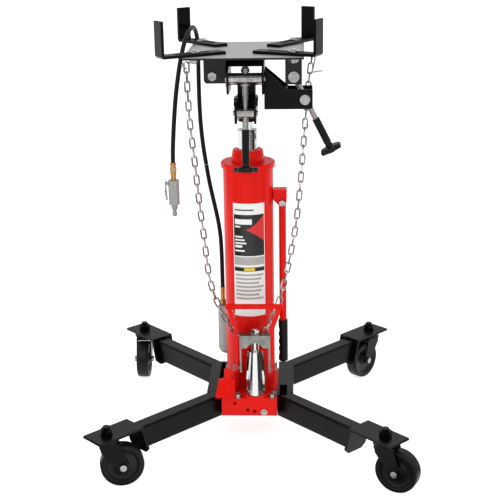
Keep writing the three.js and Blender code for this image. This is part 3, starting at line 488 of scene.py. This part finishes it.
def tube(mesh_data, points, radius, sides=14, closed=False):
    """Add a round tube along the points; its section turns as little as it can."""
    count = len(points)
    normal = Vector((0, 1, 0))
    rings = []
    for i, point in enumerate(points):
        after = points[(i + 1) % count] if closed else points[min(i + 1, count - 1)]
        before = points[i - 1] if closed else points[max(i - 1, 0)]
        along = (after - before).normalized()
        normal = (normal - normal.dot(along) * along).normalized()
        other = along.cross(normal)
        turns = [2 * math.pi * k / sides for k in range(sides)]
        section = [math.cos(t) * normal + math.sin(t) * other for t in turns]
        rings.append([mesh_data.verts.new(point + radius * offset) for offset in section])
    pairs = list(zip(rings, rings[1:]))
    if closed:
        pairs.append((rings[-1], rings[0]))
    for low, high in pairs:
        for k in range(sides):
            j = (k + 1) % sides
            mesh_data.faces.new([low[k], low[j], high[j], high[k]])
    if not closed:
        mesh_data.faces.new(rings[0])
        mesh_data.faces.new(rings[-1])


def wheels(materials, smoothing):
    """Rubber tread on a core with a recessed web, raised hub and bead ring, one pair per caster."""
    half_width = 16
    bead = (41, 14.5)
    bore = 5.4
    hub_face = 15.5
    tread = [bead, (44, half_width), (48, half_width), (50, 14)]
    tread += [(WHEEL_RADIUS, 10.5), (WHEEL_RADIUS, 4)]
    core = [(bore, hub_face), (13, hub_face), (14.5, 14.5), (16, 9.5), (22, 8.5), (34, 8.5), (36.5, 10)]
    core += [(38, 13.5), bead]
    for name, (side, end, swivel) in CASTERS.items():
        body = f"wheel_{name}"
        turn = math.radians(swivel)
        heading = Vector((math.cos(turn), math.sin(turn), 0))
        centre = at(side * STUD[0], end * STUD[1], WHEEL_RADIUS) + mm(CASTER_TRAIL) * heading
        matrix = frame_matrix(centre, Vector((-heading.y, heading.x, 0)), heading)
        data = bmesh.new()
        turned(data, [*tread, *mirrored(tread)], 64)
        tyre = piece_from(data, f"tyre_{name}", [materials["tread"]], smoothing, body, matrix)
        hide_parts(f"caster_wheel_{name}")
        data = bmesh.new()
        turned(data, core, 64)
        turned(data, mirrored(core), 64)
        turned(data, [(bore, -hub_face), (bore, hub_face)], 24)
        piece_from(data, f"wheel_core_{name}", [materials["hub"]], smoothing, body, matrix)


def hose_stretch(name, route, materials, smoothing):
    data = bmesh.new()
    tube(data, route, mm(HOSE_RADIUS))
    return piece_from(data, name, [materials["rubber"]], smoothing, None)


def hose(materials, smoothing):
    """The air hose in two stretches: the lower reaches up to the first stage, the upper to the head."""
    lower = smooth_route(HOSE_LOWER, mm(HOSE_STEP))
    upper = smooth_route(HOSE_UPPER, mm(HOSE_STEP))
    low = hose_stretch("hose_to_first_stage", lower, materials, smoothing)
    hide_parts("air_hose_lower")
    high = hose_stretch("hose_to_valve", upper, materials, smoothing)
    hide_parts("air_hose_upper")
    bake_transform(low)
    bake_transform(high)


def safety_chain(materials, smoothing):
    """Oval links, each turned a quarter from the last, hung from the saddle's two ends."""
    route = smooth_route(CHAIN, mm(LINK_PITCH))
    straight = LINK_HALF_LENGTH - LINK_HALF_WIDTH
    corners = 20
    data = bmesh.new()
    across = Vector((0, 1, 0))
    for i, (start, end) in enumerate(zip(route, route[1:])):
        along = (end - start).normalized()
        across = (across - across.dot(along) * along).normalized()
        facing = across if i % 2 else along.cross(across)
        middle = (start + end) / 2
        wire = []
        for k in range(corners):
            turn = 2 * math.pi * k / corners
            reach = mm(LINK_HALF_WIDTH * math.cos(turn) + math.copysign(straight, math.cos(turn)))
            wire.append(middle + reach * along + mm(LINK_HALF_WIDTH * math.sin(turn)) * facing)
        tube(data, wire, mm(LINK_WIRE), sides=8, closed=True)
    chain = piece_from(data, "chain_links", [materials["chain"]], smoothing, "inner_stage")
    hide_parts("safety_chain")


def star_knob(name, node, body, upper, lower, length, grip_length, materials, smoothing):
    """Ribbed vinyl sleeve and six-lobed hand wheel on a screw that runs from its upper trunnion down."""
    origin = at(*upper)
    up = origin - at(*lower)
    across = Vector((1, 0, 0)) if abs(up.x) < abs(up.y) else Vector((0, 1, 0))
    foot = -length
    grip_top = foot + grip_length
    rib_pitch = 5
    groove = SLEEVE_RADIUS - 1.1
    sleeve = [(SCREW_RADIUS + 0.4, grip_top), (SLEEVE_RADIUS - 1, grip_top)]
    for k in range(int(grip_length / rib_pitch) - 2):
        top = grip_top - 1 - rib_pitch * k
        sleeve += [(SLEEVE_RADIUS, top), (SLEEVE_RADIUS, top - 3.2)]
        sleeve += [(groove, top - 3.8), (groove, top - 4.6)]
    sleeve.append((SLEEVE_RADIUS, foot + 4))
    data = bmesh.new()
    turned(data, sleeve, 32)

    def lobed(radius, turn, z):
        return radius - KNOB_WAVE * (radius / KNOB_RADIUS) ** 2 * (1 - math.cos(KNOB_LOBES * turn))

    # Radius, and height above the screw's end
    wheel = [(0, 4), (12, 4), (22, 3), (27, 1), (KNOB_RADIUS, -2)]
    wheel += [(KNOB_RADIUS, -6), (27, -9), (20, -10), (10, -8), (0, -8)]
    turned(data, [(radius, foot + z) for radius, z in wheel], 72, lobed)
    matrix = frame_matrix(origin, up, across)
    piece = piece_from(data, name, [materials["grip"]], smoothing, body, matrix)
    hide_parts(node)


def handle_grip(materials, smoothing):
    """Moulded grip with finger hollows on its left side."""
    fingers = 4
    hollow_depth = 2.0
    first, last = GRIP_BOTTOM + 12, GRIP_TOP - 18

    def hollowed(radius, turn, z):
        facing = max(0.0, -math.cos(turn))
        share = (z - first) / (last - first)
        wave = 0.5 - 0.5 * math.cos(2 * math.pi * fingers * share) if 0 < share < 1 else 0.0
        return radius - hollow_depth * facing * wave

    rings = 50
    ring_pitch = (GRIP_TOP - GRIP_BOTTOM - 8) / rings
    profile = [(0, GRIP_BOTTOM), (9, GRIP_BOTTOM), (11.3, GRIP_BOTTOM + 1.5), (12, GRIP_BOTTOM + 4)]
    profile += [(11.8, GRIP_BOTTOM + 4 + k * ring_pitch) for k in range(1, rings)]
    profile += [(12, GRIP_TOP - 3), (11.5, GRIP_TOP), (HANDLE_RADIUS + 0.2, GRIP_TOP)]
    data = bmesh.new()
    turned(data, profile, 40, hollowed)
    place = Matrix.Translation(at(HANDLE_X, 0, 0))
    grip = piece_from(data, "moulded_grip", [materials["grip"]], smoothing, "side_handle", place)
    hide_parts("handle_grip")


def air_motor(materials, smoothing):
    """Cast motor housing with a seam at each end cap, on its pipe from the block."""
    seam = MOTOR_RADIUS - 1
    bottom_cap = [(0, 0), (22, 0), (26, 2), (28.5, 7), (MOTOR_RADIUS, 10), (MOTOR_RADIUS, 16)]
    bottom_cap += [(seam, 17), (seam, 19), (MOTOR_RADIUS, 20)]
    top_cap = [(MOTOR_RADIUS, -20), (seam, -19), (seam, -16), (MOTOR_RADIUS, -14), (MOTOR_RADIUS, -4)]
    top_cap += [(27, 0), (0, 0)]
    profile = [(radius, MOTOR_BOTTOM + z) for radius, z in bottom_cap]
    profile += [(radius, MOTOR_TOP + z) for radius, z in top_cap]
    housing = bmesh.new()
    turned(housing, profile, 56)
    collar_bottom = MOTOR_BOTTOM - 13
    pipe = bmesh.new()
    pipe_profile = [(9, BLOCK_TOP + 0.3), (9, collar_bottom - 1)]
    pipe_profile += [(12, collar_bottom), (12, MOTOR_BOTTOM + 2)]
    turned(pipe, pipe_profile, 32)
    cast, zinc = [materials["cast"]], [materials["zinc"]]
    place = Matrix.Translation(at(*MOTOR, 0))
    body = piece_from(housing, "motor_housing", cast, smoothing, "base", place)
    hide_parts("air_motor")
    place = Matrix.Translation(at(*MOTOR_PIPE, 0))
    piece_from(pipe, "motor_pipe", zinc, smoothing, "base", place)


# ---------- label ----------


def label_patch(data, index, lift, left, right, bottom, top, columns=14):
    """A patch on the tube's front; bottom and top are heights, or functions of u."""
    edge = []
    for k in range(columns + 1):
        u = left + (right - left) * k / columns
        angle = u / TUBE_RADIUS
        radius = TUBE_RADIUS + lift
        x, y = radius * math.sin(angle), -radius * math.cos(angle)
        low = bottom(u) if callable(bottom) else bottom
        high = top(u) if callable(top) else top
        edge.append((data.verts.new(at(x, y, low)), data.verts.new(at(x, y, high))))
    for (low, high), (next_low, next_high) in zip(edge, edge[1:]):
        data.faces.new([low, next_low, next_high, high]).material_index = index


def label(materials, smoothing):
    """White label with a dark panel, a red tongue and plain bars where the real one has its words."""
    inks = ["label_white", "label_black", "label_red", "label_grey", "label_yellow"]
    white, black, red, grey, yellow = range(len(inks))
    # Heights in millimetres over the tube, for what lies on the paper and on the panel
    on_paper, on_panel = 0.5, 0.7
    left, right = LABEL_LEFT + LABEL_BORDER, LABEL_RIGHT - LABEL_BORDER
    data = bmesh.new()
    label_patch(data, white, 0.3, LABEL_LEFT, LABEL_RIGHT, LABEL_BOTTOM, LABEL_TOP)
    label_patch(data, black, on_paper, left, right, PANEL_BOTTOM, PANEL_TOP)

    def share(u):
        return max(0.0, (u - TONGUE_LEFT) / (right - TONGUE_LEFT))

    def tongue_top(u):
        return TONGUE_HEIGHT + (PANEL_TOP - TONGUE_HEIGHT) * share(u) ** 1.6

    def tongue_bottom(u):
        return TONGUE_HEIGHT - 30 * share(u) ** 1.3

    label_patch(data, red, on_panel, TONGUE_LEFT, right, tongue_bottom, tongue_top)
    label_patch(data, grey, on_paper, left, right, 446, 466)
    label_patch(data, black, on_paper, left, right, 430, 440)
    label_patch(data, yellow, on_panel, -10, 16, 431.5, 438.5)
    indent = 3
    for k in range(7):
        base = 418 - 10 * k
        label_patch(data, grey, on_paper, left + indent, right - indent - (k % 3) * 6, base, base + 5)
    # Bars for the lines of words: width, foot and height
    bars = [(47, 582, 3), (42, 548, 13), (14, 540, 4), (20, 515, 4)]
    bars += [(24, 507, 4), (28, 499, 4), (18, 490, 6), (24, 480, 4)]
    for width, base, height in bars:
        tint = black if base > PANEL_TOP else white
        start = left + indent
        label_patch(data, tint, on_panel, start, start + width, base, base + height)
    piece_from(data, "label", [materials[name] for name in inks], smoothing, "base")


# ---------- small hardware ----------


def hexagon_head(data, centre, axis, flats, height, washer=0.0):
    """A hex head standing on a surface at centre, with a chamfered top and, if asked, its washer."""
    across = Vector((1, 0, 0)) if abs(axis.x) < 0.9 else Vector((0, 1, 0))
    form = bmesh.new()
    radius = flats / math.sqrt(3)
    chamfer = 1.2
    low = 0.0
    if washer:
        low = 1.6
        turned(form, [(0, 0), (washer, 0), (washer, low), (0, low)], 28)
    top = low + height
    turned(form, [(0, low), (radius, low), (radius, top - chamfer), (radius - chamfer, top), (0, top)], 6)
    place_into(data, form, frame_matrix(centre, axis, across))


def block_hardware(materials, smoothing):
    """Bolts on the base block's top, and the plug in its front."""
    up = Vector((0, 0, 1))
    front = Vector((0, -1, 0))
    data = bmesh.new()
    for x, y in ((-32, -100), (-28, -112), (56, -110), (61, -96)):
        hexagon_head(data, at(x, y, BLOCK_TOP), up, 13, 7, washer=9)
    piece_from(data, "block_bolts", [materials["zinc"]], smoothing, "base")
    data = bmesh.new()
    hexagon_head(data, at(36, -120.2, 86), front, 8, 2, washer=8)
    piece_from(data, "block_plug", [materials["zinc"]], smoothing, "base")


def weld_beads(materials, smoothing):
    """Beads where the reservoir tube meets the block and its cap."""
    beads = ((BLOCK_TOP + 1.5, TUBE_RADIUS + 0.3, 2), (TUBE_TOP - 1.5, TUBE_RADIUS + 0.2, 1.4))
    count = 120
    ripple_depth = 0.25
    data = bmesh.new()
    for height, radius, size in beads:
        ring = []
        for k in range(count):
            turn = 2 * math.pi * k / count
            reach = radius + ripple_depth * math.cos(count / 3 * turn)
            ring.append(at(reach * math.cos(turn), reach * math.sin(turn), height))
        tube(data, ring, mm(size), sides=8, closed=True)
    piece_from(data, "tube_welds", [materials["red"]], smoothing, "base")


def saddle_screws(materials, smoothing):
    """The two countersunk screws in the saddle's top."""
    data = bmesh.new()
    for y in (-60, 89):
        form = bmesh.new()
        turned(form, [(0, 0.05), (2, 0.05), (2.4, 0.15), (6.4, 0.2), (7, 0)], 28)
        place_into(data, form, Matrix.Translation(at(0, y, SADDLE_TOP)))
    piece_from(data, "saddle_screws", [materials["zinc"]], smoothing, "saddle")


def valve_ferrule(materials, smoothing):
    """Brass ferrule and union nut between the hose and the hand valve."""
    nut_bottom, nut_top = 661, 673
    crimp = [(0, 641.2), (6.9, 641.2), (6.9, 652), (7.6, 653), (7.6, nut_bottom)]
    nut = [(7.6, nut_bottom), (8.3, nut_bottom + 0.6), (8.3, nut_top - 0.8), (7.5, nut_top)]
    sleeve = [(6.9, nut_top), (6.9, 675), (7.3, 676), (7.3, 683), (6.6, 684.3), (0, 684.3)]
    data = bmesh.new()
    turned(data, crimp, 32)
    turned(data, nut, 6)
    turned(data, sleeve, 32)
    place = Matrix.Translation(at(*VALVE, 0))
    piece_from(data, "valve_ferrule", [materials["brass"]], smoothing, "inner_stage", place)


def chain_hooks(materials, smoothing):
    """A wire hook at each end of the chain, and a clip on the right one."""
    data = bmesh.new()
    left = [(-135, -60, 920), (-141, -58, 923), (-146, -52, 928), (-142, -46, 932), (-134, -46, 933)]
    left += [(-124, -48, 932)]
    right = [(155, 52, 934), (160, 49, 940), (163, 44, 936), (160, 40, 922), (157, 38, 908)]
    right += [(154, 38, 897)]
    clip = [(154, 38, 898), (160, 38, 896), (168, 38, 898), (179, 38, 899)]
    for points in (left, right, clip):
        tube(data, smooth_route([at(*p) for p in points], mm(3)), mm(1.9), sides=10)
    piece_from(data, "chain_hooks", [materials["chain"]], smoothing, "inner_stage")


# ---------- stage ----------


def camera():
    """A long lens above the jack's front, a little to its right."""
    turn, tilt, roll = (math.radians(angle) for angle in (CAMERA_TURN, CAMERA_TILT, CAMERA_ROLL))
    forward = Vector((-math.sin(turn) * math.cos(tilt), math.cos(turn) * math.cos(tilt), -math.sin(tilt)))
    right = Vector((math.cos(turn), math.sin(turn), 0))
    up = right.cross(forward)
    rolled_right = right * math.cos(roll) + up * math.sin(roll)
    rolled_up = up * math.cos(roll) - right * math.sin(roll)
    lens = bpy.data.cameras.new("camera")
    lens.lens = CAMERA_LENS
    lens.sensor_width = CAMERA_SENSOR
    lens.clip_end = 200
    holder = bpy.data.objects.new("camera", lens)
    axes = Matrix((rolled_right, rolled_up, -forward)).transposed().to_4x4()
    holder.matrix_world = Matrix.Translation(CAMERA_PLACE) @ axes
    bpy.context.scene.collection.objects.link(holder)
    bpy.context.scene.camera = holder


def area_light(name, place, target, size, power):
    lamp = bpy.data.lights.new(name, "AREA")
    lamp.shape = "RECTANGLE"
    lamp.size, lamp.size_y = size
    lamp.energy = power
    holder = bpy.data.objects.new(name, lamp)
    away = Vector(place) - Vector(target)
    holder.matrix_world = frame_matrix(Vector(place), away, Vector((1, 0.1, 0)))
    bpy.context.scene.collection.objects.link(holder)


def world_light():
    """A bright ceiling that fades down to dim walls."""
    world = bpy.data.worlds.new("studio")
    world.use_nodes = True
    nodes = world.node_tree.nodes
    links = world.node_tree.links
    place = nodes.new("ShaderNodeTexCoord")
    parts = nodes.new("ShaderNodeSeparateXYZ")
    links.new(place.outputs["Generated"], parts.inputs["Vector"])
    ceiling = nodes.new("ShaderNodeMapRange")
    ceiling.interpolation_type = "SMOOTHSTEP"
    ceiling.inputs["From Max"].default_value = 0.35
    ceiling.inputs["To Min"].default_value = WALL_LIGHT
    ceiling.inputs["To Max"].default_value = CEILING_LIGHT
    links.new(parts.outputs["Z"], ceiling.inputs["Value"])
    nodes["Background"].inputs["Color"].default_value = (1, 1, 1, 1)
    links.new(ceiling.outputs["Result"], nodes["Background"].inputs["Strength"])
    bpy.context.scene.world = world


def card(name, corners, material):
    mesh = bpy.data.meshes.new(name)
    mesh.from_pydata(corners, [], [tuple(range(len(corners)))])
    mesh.materials.append(material)
    piece = bpy.data.objects.new(name, mesh)
    bpy.context.scene.collection.objects.link(piece)
    return piece


def studio(materials):
    """White floor, the room's light, three soft lamps, and dark wedges that give the metal its streaks."""
    scene = bpy.context.scene
    scene.view_settings.view_transform = "Standard"
    scene.view_settings.look = "None"
    world_light()
    white = materials["floor"]
    shader = white.node_tree.nodes["Principled BSDF"]
    shader.inputs["Emission Color"].default_value = (1, 1, 1, 1)
    shader.inputs["Emission Strength"].default_value = FLOOR_GLOW
    corners = [(-1, -1), (1, -1), (1, 1), (-1, 1)]
    card("floor", [(FLOOR_REACH * x, FLOOR_REACH * y, 0) for x, y in corners], white)
    for number, (first, last) in enumerate(DARK_WEDGES):
        corners = []
        outline = ((first, WEDGE_START), (first, WEDGE_END), (last, WEDGE_END), (last, WEDGE_START))
        for angle, radius in outline:
            turn = math.radians(angle)
            corners.append((radius * math.sin(turn), -radius * math.cos(turn), WEDGE_LIFT))
        wedge = card(f"dark_wedge_{number}", corners, materials["card"])
        wedge.visible_camera = False
        wedge.visible_diffuse = False
        wedge.visible_shadow = False
    for name, lamp in LAMPS.items():
        area_light(name, *lamp)


# ---------- put together ----------

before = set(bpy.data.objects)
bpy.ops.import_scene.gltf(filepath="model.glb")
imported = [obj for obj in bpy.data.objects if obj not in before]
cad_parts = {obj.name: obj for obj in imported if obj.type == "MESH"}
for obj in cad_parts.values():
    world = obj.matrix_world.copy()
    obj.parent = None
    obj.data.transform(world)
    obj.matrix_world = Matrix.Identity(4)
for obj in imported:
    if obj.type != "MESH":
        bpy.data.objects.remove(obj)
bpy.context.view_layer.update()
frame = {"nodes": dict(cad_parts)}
finishes = make_materials()
shade = smoothing_group(math.radians(40))
camera()
hose(finishes, shade)
safety_chain(finishes, shade)
studio(finishes)
dress_frame(frame["nodes"], finishes, shade)
wheels(finishes, shade)
tilt_screw = (TILT_UPPER, TILT_LOWER, TILT_SCREW_LENGTH, TILT_GRIP_LENGTH)
side_screw = (SIDE_UPPER, SIDE_LOWER, SIDE_SCREW_LENGTH, SIDE_GRIP_LENGTH)
star_knob("tilt_hand_wheel", "tilt_knob", "tilt_screw", *tilt_screw, finishes, shade)
star_knob("side_hand_wheel", "side_knob", "side_screw", *side_screw, finishes, shade)
handle_grip(finishes, shade)
air_motor(finishes, shade)
label(finishes, shade)
block_hardware(finishes, shade)
weld_beads(finishes, shade)
saddle_screws(finishes, shade)
valve_ferrule(finishes, shade)
chain_hooks(finishes, shade)
bpy.context.view_layer.update()
